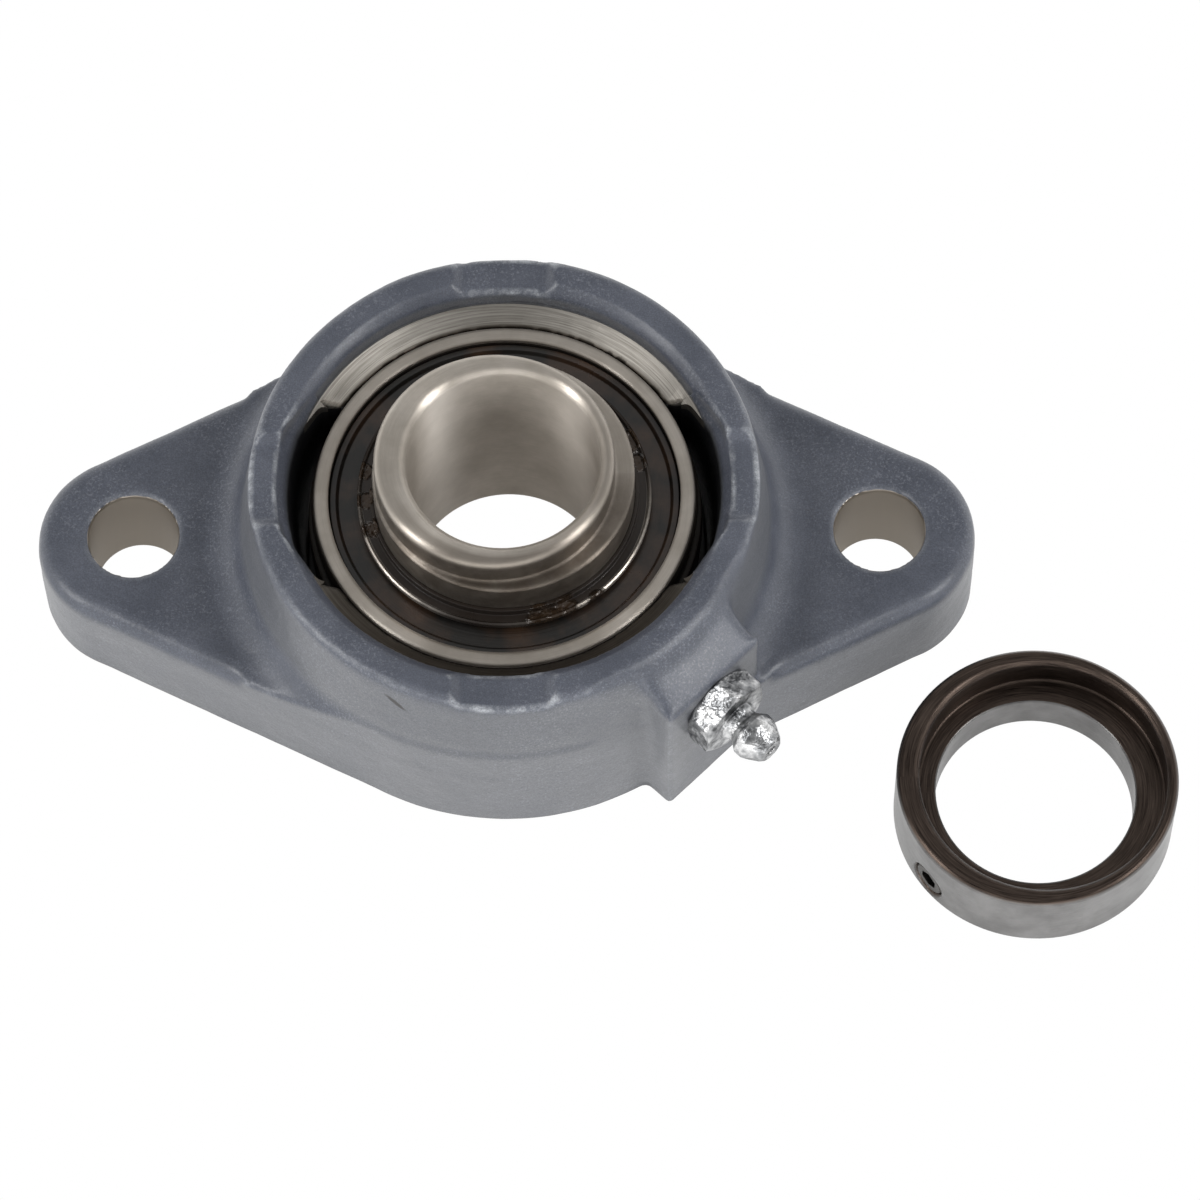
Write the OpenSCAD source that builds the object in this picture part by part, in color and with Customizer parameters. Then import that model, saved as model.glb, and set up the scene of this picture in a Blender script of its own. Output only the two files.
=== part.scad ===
// Two-bolt flange bearing: a cast housing, a self-aligning ball bearing insert with a wide inner
// ring, a grease nipple, and the eccentric locking collar that lies beside it. Millimetres.
// The origin is the centre of the mounting face. +Z runs along the shaft towards the collar side,
// +X runs along the line of the two bolts, and the nipple points to the front right.

/* [Flange] */
// Distance between the two bolt holes
bolt_spacing = 99; // [92:0.5:108]
// Diameter of each bolt hole
bolt_hole_d = 12; // [9:0.5:14]
// Radius of the rounded ends of the flange
ear_radius = 12.8; // [11:0.1:15]
// Radius of the flange outline round the boss
waist_radius = 35.2; // [34.8:0.1:37]
// Thickness of the flange
flange_thickness = 14.5; // [12.5:0.5:16]
// Rounding of the flange's top edge
edge_round = 2.5; // [1:0.25:4]

/* [Boss] */
// Height of the boss above the mounting face
boss_height = 30.2; // [29.5:0.1:33]
// Outer radius of the boss at its rim
boss_radius = 33.4; // [33:0.1:33.6]
// How far the cast wall widens from the rim down to the fillet
boss_draft = 1.3; // [0.6:0.1:1.4]
// Radius of the fillet between the boss and the flange
boss_fillet = 6; // [3:0.5:7]
// Rounding of the rim's outer edge
rim_round = 1.2; // [0.6:0.1:1.4]
// Radius at which the rim's flat top ends inside
rim_inner_radius = 29.5; // [29.2:0.1:30]
// Width and depth of the slope inside the rim's top
rim_bevel = 1.4; // [0.8:0.1:1.6]
// Width of each of the four sunken pads on the rim
pad_width = 13.2; // [8:0.2:18]
// How far the pads lie below the rim
pad_depth = 1; // [0.3:0.1:1.2]
// Width of the slope at each end of a pad
pad_end_slope = 0.9; // [0.4:0.1:1.8]

/* [Seat] */
// Height of the insert's centre above the mounting face
insert_height = 17.8; // [17.5:0.1:19]
// Gap between the housing's spherical seat and the outer ring
seat_clearance = 0.05; // [0.02:0.01:0.1]
// Radius of the cored opening under the seat
back_bore_radius = 24.6; // [23:0.1:25.2]
// Radial width of the machined chamfer above the seat
seat_chamfer = 1.9; // [0.8:0.1:2]
// Width of the grease groove in the seat
seat_groove_width = 3.6; // [2:0.2:5]
// Depth of the grease groove in the seat
seat_groove_depth = 0.9; // [0.4:0.1:1.5]

/* [Loading slots] */
// Radius of each slot's rounded end wall at the rim
slot_reach = 29.8; // [29:0.1:30]
// How far the end wall leans inwards down to the slot's floor
slot_lean = 2.4; // [1:0.2:2.8]
// Width of the end wall
slot_end_width = 16; // [12:0.5:18]
// Width of the slot where it opens into the seat
slot_mouth_width = 26.4; // [22:0.2:28]
// Depth of the slot's floor below the insert's lower face
slot_floor_drop = 0.5; // [0:0.1:1.5]

/* [Grease lug] */
// Direction of the lug and nipple round the shaft, from the +X side
lug_angle = -45; // [-60:1:-30]
// Distance from the shaft's axis to the lug's flat face
lug_reach = 38.5; // [37:0.1:41]
// Width of the lug
lug_width = 16.6; // [13:0.2:19]
// Height of the lug's face above the mounting face
lug_height = 24.4; // [23:0.1:26]
// Height of the nipple's axis above the mounting face
nipple_height = 18.8; // [17.5:0.1:19.5]

/* [Grease nipple] */
// Width of the hexagon across its flats
nipple_hex = 10; // [8:0.5:11]
// Thickness of the hexagon
nipple_hex_height = 3.8; // [3:0.1:5]
// Diameter of the screwed shank
nipple_thread_d = 6; // [5:0.5:8]
// Length of the screwed shank
nipple_thread_length = 6.5; // [4:0.5:7]
// Diameter of the nipple's head
nipple_head_d = 6.5; // [6:0.1:7]
// Length of the neck and head beyond the hexagon
nipple_head_length = 6.4; // [5.5:0.1:8]
// Diameter of the check ball
check_ball_d = 2.4; // [2:0.1:2.6]

/* [Bearing rings] */
// Outside diameter of the spherical outer ring
outer_ring_d = 52; // [51.6:0.1:52]
// Width of the outer ring
outer_ring_width = 15; // [14.6:0.2:15.4]
// Radius of the outer ring's shoulders, inside
outer_shoulder_radius = 22.1; // [21.8:0.05:22.4]
// Radius of the recess that holds each seal
seal_seat_radius = 23.1; // [22.8:0.05:23.4]
// Diameter of the shaft bore
shaft_bore_d = 25.4; // [22:0.1:26]
// Width of the inner ring
inner_ring_width = 34.9; // [33:0.1:35.2]
// Radius of the inner ring's shoulders
inner_shoulder_radius = 17.1; // [17:0.05:17.3]
// Chamfer at each end of the shaft bore
bore_chamfer = 0.75; // [0.2:0.05:1]

/* [Balls and cage] */
// Number of balls
ball_count = 9; // [8:1:9]
// Diameter of each ball
ball_d = 7.938; // [7.5:0.001:8]
// Diameter of the circle through the balls' centres
ball_circle_d = 39; // [38.9:0.1:39.2]
// Gap between a ball and the bottom of each raceway
raceway_clearance = 0.08; // [0.04:0.01:0.12]
// Thickness of the cage's sheet
cage_sheet = 0.6; // [0.4:0.05:0.7]
// Gap between a ball and its pocket
pocket_clearance = 0.12; // [0.08:0.01:0.16]
// Width of the cage's ring, from its inner to its outer edge
cage_ring_width = 3.2; // [2.6:0.1:3.6]
// Diameter of each cage rivet
rivet_d = 1.2; // [0.8:0.1:1.4]

/* [Seals] */
// Thickness of each rubber seal
seal_thickness = 1.3; // [1:0.1:1.5]
// Height of each seal's inner face above the row of balls
seal_height = 5.25; // [5.15:0.05:5.3]
// Gap between the seal's lip and the inner ring
lip_clearance = 0.15; // [0.05:0.05:0.3]
// How far each flinger washer reaches out from the inner ring's land
flinger_reach = 2.2; // [1.8:0.1:3]
// Thickness of the flinger's sheet
flinger_sheet = 0.5; // [0.4:0.05:0.6]

/* [Eccentric cam and collar] */
// Radius of the cam on the nose of the inner ring
cam_radius = 15.7; // [15.2:0.05:15.75]
// How far the cam lies off the shaft's axis
cam_offset = 1.1; // [0.6:0.05:1.15]
// Direction in which the cam lies off the axis
cam_angle = 178; // [0:1:359]
// Height of the cam
cam_height = 4.3; // [3.8:0.1:5.2]
// Rounding of the nose
nose_round = 1; // [0.3:0.1:1]
// Outside diameter of the locking collar
collar_d = 36.8; // [36:0.1:40]
// Height of the locking collar
collar_height = 11.4; // [10.6:0.1:13]
// Diameter of the collar's own bore
collar_bore_d = 26.2; // [25.6:0.1:27]
// Depth of the collar's eccentric recess
collar_recess_depth = 5; // [4.4:0.1:5.2]
// Gap between the recess and the cam
cam_clearance = 0.5; // [0.35:0.05:0.6]
// How far the recess lies off the collar's bore
recess_offset = 0.8; // [0.6:0.05:1]
// Direction in which the collar's recess lies off its bore
recess_angle = 10; // [0:1:359]
// Distance of the loose collar along the bolt line
collar_x = 69.3; // [66:0.1:90]
// Distance of the loose collar across the bolt line
collar_y = -34.8; // [-60:0.1:-32]
// Diameter of the set screw
set_screw_d = 5; // [4:0.5:5]
// Length of the set screw
set_screw_length = 4.6; // [4:0.1:4.8]
// Direction of the set screw round the collar
set_screw_angle = 218; // [0:1:359]

/* [Hidden] */
$fn = 96;

// Colours of the finishes
paint_colour = [0.36, 0.39, 0.43];
steel_colour = [0.62, 0.59, 0.55];
zinc_colour = [0.80, 0.80, 0.79];
rubber_colour = [0.13, 0.09, 0.07];
sheet_colour = [0.45, 0.40, 0.35];
oxide_colour = [0.30, 0.27, 0.25];

// How far a cutting shape reaches past the face that it opens
over = 1;
// Small clearance of pieces that are pressed or screwed together
fit_gap = 0.03;

// Flange outline, from the two radii and the bolt spacing
bolt_x = bolt_spacing / 2;
tangent_angle = asin((waist_radius - ear_radius) / bolt_x);
tangent_length = bolt_x * cos(tangent_angle);
// The straight edges and the boss's outline lie a hair inside the round ones, so that faces cross
tangent_dip = 0.03;
outline_inset = 0.05;
edge_band = 0.42 * ear_radius;

// Boss and its fillet: the fillet dips a little into the flange so that the two faces cross
fillet_dip = 0.05;
boss_base_radius = boss_radius + boss_draft;
fillet_top = flange_thickness + boss_fillet - fillet_dip;
core_radius = 20;
core_half = 27;

// Spherical seat, and the machined and cast openings above it
outer_ring_radius = outer_ring_d / 2;
seat_radius = outer_ring_radius + seat_clearance;
half_width = outer_ring_width / 2;
seat_edge_radius = sqrt(pow(seat_radius, 2) - pow(half_width - 0.4, 2));
machined_radius = seat_radius + seat_chamfer;
machined_top = insert_height + half_width + 1.2;
flare_radius = rim_inner_radius - rim_bevel;
flare_top = boss_height - rim_bevel;

// Angle between the slots' flanks and the line of the bolts
slot_flank_angle = 57;

// Raceways: both grooves are arcs about the circle of the balls' centres
ball_radius = ball_d / 2;
ball_circle_radius = ball_circle_d / 2;
raceway_radius = ball_radius + raceway_clearance;
pocket_radius = ball_radius + pocket_clearance;
ball_step = 360 / ball_count;

// Inner ring, from its lower end to the nose
ring_bottom = -inner_ring_width / 2;
ring_top = inner_ring_width / 2;
cam_bottom = ring_top - cam_height;
shaft_radius = shaft_bore_d / 2;
cam_shift = cam_offset * [cos(cam_angle), sin(cam_angle), 0];

// Seals and flingers
seal_outer = seal_seat_radius - fit_gap;
seal_top = seal_height + seal_thickness;
flinger_radius = inner_shoulder_radius + flinger_reach;
flinger_height = seal_top + 0.2;

// Grease path: groove in the seat, and the holes of the outer ring beside the raceway
groove_height = nipple_height;
ring_hole_height = 4.2;
ring_hole_d = 1.6;

// Nipple, measured outwards along its own axis from the lug's face
hex_radius = nipple_hex / 2 / cos(30);
neck_radius = nipple_head_d * 0.37;
tip = nipple_hex_height + nipple_head_length;
head_start = tip - nipple_head_d * 0.6;
mouth_radius = check_ball_d / 3;
chamber_radius = check_ball_d / 2 + 0.12;
chamber_top = tip - 0.9;
check_ball_radius = check_ball_d / 2;
check_ball_at = chamber_top - sqrt(pow(check_ball_radius, 2) - pow(mouth_radius, 2)) - 0.02;
chamber_bottom = 1.2;
passage_radius = 0.7;
spring_wire = 0.32;
spring_radius = chamber_radius - spring_wire / 2 - 0.1;
spring_low = chamber_bottom + spring_wire / 2 + 0.05;
spring_high = check_ball_at - check_ball_radius - spring_wire / 2 - 0.05;
spring_turns = 6;
spring_steps = 14;

// Collar
collar_radius = collar_d / 2;
collar_bore_radius = collar_bore_d / 2;
recess_radius = cam_radius + cam_clearance;
recess_shift = recess_offset * [cos(recess_angle), sin(recess_angle), 0];
recess_floor = collar_height - collar_recess_depth;
screw_radius = set_screw_d / 2;
screw_height = recess_floor / 2 + 0.3;
screw_inner = collar_bore_radius + 0.4;

module tube(outer, inner, height) {
    difference() {
        cylinder(r = outer, h = height);
        translate([0, 0, -over]) cylinder(r = inner, h = height + 2 * over);
    }
}

// Places its children once for every ball
module round_the_balls() {
    for (i = [0:ball_count - 1]) rotate([0, 0, i * ball_step]) children();
}

module at_insert() {
    translate([0, 0, insert_height]) children();
}

// Turns its children so that their +Z points out of the lug, starting at its face
module at_nipple() {
    rotate([0, 0, lug_angle]) translate([lug_reach, 0, nipple_height]) rotate([0, 90, 0]) children();
}

module at_collar() {
    translate([collar_x, collar_y, 0]) children();
}

// Half section of a slab with a rounded top edge, from the inner to the outer end along X
module rounded_section(outer, height, round, inner = 0) {
    difference() {
        translate([inner, 0]) square([outer - inner, height]);
        difference() {
            translate([outer - round, height - round]) square(round + over);
            translate([outer - round, height - round]) circle(r = round);
        }
    }
}

// The straight stretch of the flange's edge, from the waist to the ear at the back right
module flange_edge_bar() {
    rotate([0, 0, -tangent_angle])
        translate([0, waist_radius - ear_radius - tangent_dip, 0])
            rotate([90, 0, 90])
                linear_extrude(tangent_length)
                    rounded_section(ear_radius, flange_thickness, edge_round, ear_radius - edge_band);
}

// The middle of the slab: it overlaps the four bars and the round ends, and keeps clear of the holes
module flange_core() {
    along = [cos(tangent_angle), -sin(tangent_angle)];
    line = waist_radius - 0.8 * edge_band;
    near = [(line - core_half * cos(tangent_angle)) / sin(tangent_angle), core_half];
    far = line * [-along[1], along[0]] + (tangent_length - 0.6 * ear_radius) * along;
    end = [bolt_x - 0.85 * ear_radius, 0];
    linear_extrude(flange_thickness) polygon([
        near, far, end, [far[0], -far[1]], [near[0], -near[1]],
        -near, -far, -end, [-far[0], far[1]], [-near[0], near[1]]
    ]);
}

module flange_slab() {
    rotate_extrude() rounded_section(waist_radius, flange_thickness, edge_round, core_radius);
    for (side = [-1, 1]) translate([side * bolt_x, 0, 0])
        rotate_extrude() rounded_section(ear_radius, flange_thickness, edge_round);
    for (flip_x = [0, 1]) for (flip_y = [0, 1])
        mirror([flip_x, 0, 0]) mirror([0, flip_y, 0]) flange_edge_bar();
    flange_core();
}

// Limits the boss to the flange's outline, a hair inside its wall
module boss_outline() {
    foot = [sin(tangent_angle), cos(tangent_angle)];
    near = (waist_radius - outline_inset - tangent_dip) * foot;
    far = near + bolt_x * [foot[1], -foot[0]];
    circle(r = waist_radius - outline_inset);
    polygon([
        near, far, [far[0], -far[1]], [near[0], -near[1]],
        -near, -far, [-far[0], far[1]], [-near[0], near[1]]
    ]);
}

// Wall of the boss with its draft, the rounded outer edge of the rim and the fillet at its foot
module boss_section() {
    polygon([
        [core_radius, 0],
        [boss_base_radius, 0],
        [boss_base_radius, fillet_top],
        [boss_radius, boss_height - rim_round],
        [boss_radius - rim_round * 0.3, boss_height - rim_round * 0.3],
        [boss_radius - rim_round, boss_height],
        [core_radius, boss_height]
    ]);
    difference() {
        translate([core_radius, 0]) square([boss_base_radius + boss_fillet - core_radius, fillet_top]);
        translate([boss_base_radius + boss_fillet, fillet_top]) circle(r = boss_fillet);
    }
}

module boss() {
    intersection() {
        rotate_extrude() boss_section();
        linear_extrude(boss_height + over) boss_outline();
    }
}

// The lug that carries the nipple: upright face and sides, and a top that slopes up to the rim
module grease_lug() {
    rotate([0, 0, lug_angle]) translate([0, lug_width / 2, 0]) rotate([90, 0, 0])
        linear_extrude(lug_width) polygon([
            [boss_radius - 4, 0],
            [lug_reach, 0],
            [lug_reach, lug_height],
            [lug_reach - 1.4, lug_height + 1.2],
            [boss_radius + 0.2, boss_height - 2.2],
            [boss_radius - 4, boss_height - 2.2]
        ]);
}

// Cored opening at the back, machined chamfer above the seat and cast flare up to the rim
module seat_openings() {
    translate([0, 0, -over]) cylinder(r = back_bore_radius, h = insert_height);
    rotate_extrude() polygon([
        [0, -over],
        [back_bore_radius + 1 + over, -over],
        [back_bore_radius, 1],
        [0, 1]
    ]);
    rotate_extrude() polygon([
        [0, insert_height],
        [seat_edge_radius, insert_height],
        [seat_edge_radius, insert_height + half_width - 0.4],
        [machined_radius, machined_top],
        [flare_radius, flare_top],
        [rim_inner_radius, boss_height],
        [rim_inner_radius, boss_height + over],
        [0, boss_height + over]
    ]);
}

// The insert goes in crosswise through these two slots and is then swung flat
module loading_slots() {
    floor_at = insert_height - half_width - slot_floor_drop;
    corner = slot_reach - 1.3;
    half_end = slot_end_width / 2;
    half_mouth = slot_mouth_width / 2;
    shoulder = corner - (half_mouth - half_end) / tan(slot_flank_angle);
    lean_per_height = slot_lean / (boss_height - floor_at);
    intersection() {
        translate([0, 0, floor_at]) linear_extrude(boss_height) polygon([
            [-slot_reach - over, -half_end], [-corner, -half_end], [-shoulder, -half_mouth],
            [shoulder, -half_mouth], [corner, -half_end], [slot_reach + over, -half_end],
            [slot_reach + over, half_end], [corner, half_end], [shoulder, half_mouth],
            [-shoulder, half_mouth], [-corner, half_end], [-slot_reach - over, half_end]
        ]);
        rotate_extrude() polygon([
            [0, floor_at - over],
            [slot_reach - slot_lean - over * lean_per_height, floor_at - over],
            [slot_reach + over * lean_per_height, boss_height + over],
            [0, boss_height + over]
        ]);
    }
}

// Four sunken pads across the rim, with sloping ends
module rim_pads() {
    half_floor = pad_width / 2 - pad_end_slope;
    half_top = pad_width / 2 + pad_end_slope;
    for (turn = [0:90:270]) rotate([0, 0, turn]) translate([core_radius, 0, boss_height - pad_depth])
        rotate([90, 0, 90]) linear_extrude(boss_base_radius + over - core_radius) polygon([
            [-half_floor, 0],
            [half_floor, 0],
            [half_top, 2 * pad_depth],
            [-half_top, 2 * pad_depth]
        ]);
}

module seat_groove() {
    translate([0, 0, groove_height - seat_groove_width / 2])
        tube(seat_radius + seat_groove_depth, core_radius, seat_groove_width);
}

module housing() {
    color(paint_colour) difference() {
        union() {
            flange_slab();
            boss();
            grease_lug();
        }
        seat_openings();
        at_insert() sphere(r = seat_radius);
        loading_slots();
        rim_pads();
        seat_groove();
        for (side = [-1, 1]) translate([side * bolt_x, 0, -over])
            cylinder(d = bolt_hole_d, h = flange_thickness + 2 * over);
        at_nipple() {
            translate([0, 0, -nipple_thread_length - 1])
                cylinder(d = nipple_thread_d + 2 * fit_gap, h = nipple_thread_length + 1 + over);
            translate([0, 0, -lug_reach + core_radius + 2]) cylinder(r = 1.4, h = lug_reach - core_radius - 2);
        }
    }
}

// Section of the nipple's head: neck, barrel and rounded tip
module nipple_head_section() {
    polygon([
        [0, nipple_hex_height - over],
        [neck_radius + 0.5, nipple_hex_height - over],
        [neck_radius + 0.5, nipple_hex_height + 0.4],
        [neck_radius, nipple_hex_height + 1],
        [neck_radius, head_start - 0.9],
        [nipple_head_d / 2, head_start + 0.3],
        [nipple_head_d / 2, head_start + 1.3],
        [nipple_head_d / 2 - 0.35, head_start + 2.1],
        [nipple_head_d / 2 - 1.1, tip - 0.45],
        [mouth_radius + 0.9, tip],
        [0, tip]
    ]);
}

module grease_nipple() {
    color(zinc_colour) at_nipple() difference() {
        union() {
            intersection() {
                cylinder(r = hex_radius, h = nipple_hex_height, $fn = 6);
                rotate_extrude() polygon([
                    [0, 0],
                    [nipple_hex / 2, 0],
                    [hex_radius + 0.1, 0.6],
                    [hex_radius + 0.1, nipple_hex_height - 0.6],
                    [nipple_hex / 2, nipple_hex_height],
                    [0, nipple_hex_height]
                ]);
            }
            rotate_extrude() nipple_head_section();
            translate([0, 0, -nipple_thread_length]) cylinder(d = nipple_thread_d, h = nipple_thread_length + over);
        }
        translate([0, 0, chamber_bottom]) cylinder(r = chamber_radius, h = chamber_top - chamber_bottom);
        translate([0, 0, chamber_bottom]) cylinder(r = mouth_radius, h = tip);
        translate([0, 0, -nipple_thread_length - over])
            cylinder(r = passage_radius, h = nipple_thread_length + 2 * over + chamber_bottom);
    }
}

module nipple_check_ball() {
    color(steel_colour) at_nipple() translate([0, 0, check_ball_at]) sphere(r = check_ball_radius);
}

// A point of the spring's wire: t counts turns along the coil, u goes round the wire
function coil_point(t, u) = let (
    rise = spring_low + (spring_high - spring_low) * t / spring_turns,
    reach = spring_radius + spring_wire / 2 * cos(u)
) [reach * cos(360 * t), reach * sin(360 * t), rise + spring_wire / 2 * sin(u)];

module nipple_spring() {
    sides = 6;
    rings = spring_turns * spring_steps;
    points = [
        for (i = [0:rings]) for (k = [0:sides - 1]) coil_point(i / spring_steps, 360 * k / sides)
    ];
    walls = [
        for (i = [0:rings - 1]) for (k = [0:sides - 1])
            [i * sides + k, i * sides + (k + 1) % sides, (i + 1) * sides + (k + 1) % sides, (i + 1) * sides + k]
    ];
    start_cap = [for (k = [0:sides - 1]) sides - 1 - k];
    end_cap = [for (k = [0:sides - 1]) rings * sides + k];
    color(steel_colour) at_nipple() polyhedron(points, concat(walls, [start_cap, end_cap]));
}

module outer_ring() {
    color(steel_colour) at_insert() difference() {
        intersection() {
            sphere(r = outer_ring_radius);
            translate([0, 0, -half_width]) cylinder(r = outer_ring_radius + over, h = outer_ring_width);
        }
        translate([0, 0, -half_width - over]) cylinder(r = outer_shoulder_radius, h = outer_ring_width + 2 * over);
        rotate_extrude() translate([ball_circle_radius, 0]) circle(r = raceway_radius);
        for (flip = [0, 1]) mirror([0, 0, flip]) {
            translate([0, 0, seal_height - fit_gap]) cylinder(r = seal_seat_radius, h = half_width);
            translate([0, 0, seal_height + 0.35]) cylinder(r = seal_seat_radius + 0.35, h = 0.6);
        }
        translate([0, 0, ring_hole_height - 1.4]) tube(outer_ring_radius + over, outer_ring_radius - 0.9, 2.8);
        for (turn = [90, 270]) rotate([0, 0, turn]) translate([core_radius, 0, ring_hole_height])
            rotate([0, 90, 0]) cylinder(d = ring_hole_d, h = outer_ring_radius);
    }
}

module inner_ring() {
    color(steel_colour) at_insert() difference() {
        union() {
            translate([0, 0, ring_bottom])
                rotate_extrude() polygon([
                    [0, 0],
                    [inner_shoulder_radius - 0.8, 0],
                    [inner_shoulder_radius - 0.2, 0.3],
                    [inner_shoulder_radius, 0.9],
                    [inner_shoulder_radius, inner_ring_width - cam_height - 0.2],
                    [inner_shoulder_radius - 0.15, inner_ring_width - cam_height],
                    [0, inner_ring_width - cam_height]
                ]);
            translate(cam_shift) translate([0, 0, cam_bottom - over])
                rotate_extrude() rounded_section(cam_radius, cam_height + over, nose_round);
        }
        rotate_extrude() translate([ball_circle_radius, 0]) circle(r = raceway_radius);
        translate([0, 0, ring_bottom - over]) cylinder(r = shaft_radius, h = inner_ring_width + 2 * over);
        for (flip = [0, 1]) mirror([0, 0, flip]) translate([0, 0, ring_top - bore_chamfer])
            cylinder(r1 = shaft_radius, r2 = shaft_radius + bore_chamfer + over, h = bore_chamfer + over);
    }
}

// Rubber seal on a steel ring: rolled rim in the outer ring's groove, thin web, and two lips
module seal() {
    lip = inner_shoulder_radius + lip_clearance;
    rotate_extrude() polygon([
        [lip + 0.3, seal_height + 0.1],
        [lip + 1.2, seal_height],
        [seal_outer - 1.6, seal_height + 0.1],
        [seal_outer - 1.3, seal_height],
        [seal_outer, seal_height],
        [seal_outer, seal_height + 0.4],
        [seal_outer + 0.3, seal_height + 0.5],
        [seal_outer + 0.3, seal_height + 0.8],
        [seal_outer, seal_height + 0.9],
        [seal_outer - 0.2, seal_top],
        [seal_outer - 0.9, seal_top],
        [seal_outer - 1.3, seal_height + 0.75],
        [lip + 1.3, seal_height + 0.75],
        [lip + 0.9, seal_top - 0.15],
        [lip + 0.4, seal_top - 0.15],
        [lip + 0.25, seal_height + 0.75],
        [lip, seal_height + 0.6],
        [lip, seal_height + 0.4]
    ]);
}

module front_seal() {
    color(rubber_colour) at_insert() seal();
}

module back_seal() {
    color(rubber_colour) at_insert() mirror([0, 0, 1]) seal();
}

// Sheet-steel washer that is pressed on the inner ring and turns with it, over the seal
module flinger() {
    sleeve = inner_shoulder_radius + fit_gap;
    rotate_extrude() polygon([
        [sleeve, flinger_height],
        [flinger_radius - 0.2, flinger_height],
        [flinger_radius, flinger_height + 0.2],
        [flinger_radius, flinger_height + 0.8],
        [flinger_radius - 0.25, flinger_height + 1],
        [flinger_radius - flinger_sheet, flinger_height + 0.8],
        [flinger_radius - flinger_sheet, flinger_height + flinger_sheet],
        [sleeve + flinger_sheet, flinger_height + flinger_sheet],
        [sleeve + flinger_sheet, flinger_height + 1.6],
        [sleeve, flinger_height + 1.6]
    ]);
}

module front_flinger() {
    color(sheet_colour) at_insert() flinger();
}

module back_flinger() {
    color(sheet_colour) at_insert() mirror([0, 0, 1]) flinger();
}

// One pressed half of the cage: a flat ring between the balls, and a domed pocket over each ball
module cage_half() {
    low = ball_circle_radius - cage_ring_width / 2;
    high = ball_circle_radius + cage_ring_width / 2;
    difference() {
        intersection() {
            union() {
                translate([0, 0, fit_gap]) cylinder(r = high + over, h = cage_sheet);
                round_the_balls() translate([ball_circle_radius, 0, 0]) sphere(r = pocket_radius + cage_sheet);
            }
            translate([0, 0, fit_gap]) tube(high, low, ball_d);
        }
        round_the_balls() translate([ball_circle_radius, 0, 0]) sphere(r = pocket_radius);
        round_the_balls() rotate([0, 0, ball_step / 2]) translate([ball_circle_radius, 0, -over])
            cylinder(d = rivet_d + 2 * fit_gap, h = 2 * over + cage_sheet);
    }
}

module front_cage_half() {
    color(sheet_colour) at_insert() cage_half();
}

module back_cage_half() {
    color(sheet_colour) at_insert() mirror([0, 0, 1]) cage_half();
}

module cage_rivet() {
    reach = cage_sheet + 2 * fit_gap;
    translate([0, 0, -reach]) cylinder(d = rivet_d, h = 2 * reach);
    for (flip = [0, 1]) mirror([0, 0, flip]) translate([0, 0, reach]) rotate_extrude()
        polygon([[0, 0], [rivet_d * 0.75, 0], [rivet_d * 0.75, 0.12], [rivet_d * 0.4, 0.4], [0, 0.45]]);
}

module cage_rivets() {
    color(steel_colour) at_insert() round_the_balls()
        rotate([0, 0, ball_step / 2]) translate([ball_circle_radius, 0, 0]) cage_rivet();
}

module ball(i) {
    color(steel_colour) at_insert() rotate([0, 0, (i - 1) * ball_step])
        translate([ball_circle_radius, 0, 0]) sphere(r = ball_radius);
}

// Bore for the shaft, eccentric recess that locks on the cam, and the set screw's hole
module locking_collar() {
    edge = 0.5;
    color(oxide_colour) at_collar() difference() {
        rotate_extrude() polygon([
            [0, 0],
            [collar_radius - edge, 0],
            [collar_radius, edge],
            [collar_radius, collar_height - edge],
            [collar_radius - edge, collar_height],
            [0, collar_height]
        ]);
        translate([0, 0, -over]) cylinder(r = collar_bore_radius, h = collar_height);
        translate([0, 0, -over]) cylinder(r1 = collar_bore_radius + over + edge, r2 = collar_bore_radius, h = over + edge);
        translate(recess_shift) translate([0, 0, recess_floor]) cylinder(r = recess_radius, h = collar_height);
        translate(recess_shift) translate([0, 0, collar_height - edge])
            cylinder(r1 = recess_radius, r2 = recess_radius + edge + over, h = edge + over);
        rotate([0, 0, set_screw_angle]) translate([0, 0, screw_height]) rotate([0, 90, 0])
            cylinder(r = screw_radius + fit_gap, h = collar_radius + over);
        rotate([0, 0, set_screw_angle]) translate([collar_radius - edge, 0, screw_height]) rotate([0, 90, 0])
            cylinder(r1 = screw_radius + fit_gap, r2 = screw_radius + edge + over, h = edge + over);
    }
}

module set_screw() {
    socket_radius = screw_radius / 2 / cos(30);
    color(oxide_colour) at_collar() rotate([0, 0, set_screw_angle])
        translate([screw_inner, 0, screw_height]) rotate([0, 90, 0]) difference() {
            rotate_extrude() polygon([
                [0, 0.3],
                [screw_radius * 0.5, 0],
                [screw_radius - 0.5, 0.5],
                [screw_radius, 1],
                [screw_radius, set_screw_length - 0.3],
                [screw_radius - 0.3, set_screw_length],
                [0, set_screw_length]
            ]);
            translate([0, 0, set_screw_length / 2]) cylinder(r = socket_radius, h = set_screw_length, $fn = 6);
        }
}

housing();
grease_nipple();
nipple_check_ball();
nipple_spring();
outer_ring();
inner_ring();
front_seal();
back_seal();
front_flinger();
back_flinger();
front_cage_half();
back_cage_half();
cage_rivets();
for (i = [1:ball_count]) ball(i);
locking_collar();
set_screw();
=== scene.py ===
# Looks of the two-bolt flange bearing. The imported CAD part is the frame, and this script dresses it:
# a softened casting in place of the plain housing solid, procedural finishes, the camera and the light.
import math

import bmesh
import bpy
import numpy as np
from mathutils import Matrix, Vector
from mathutils.noise import noise as lump_height


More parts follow.
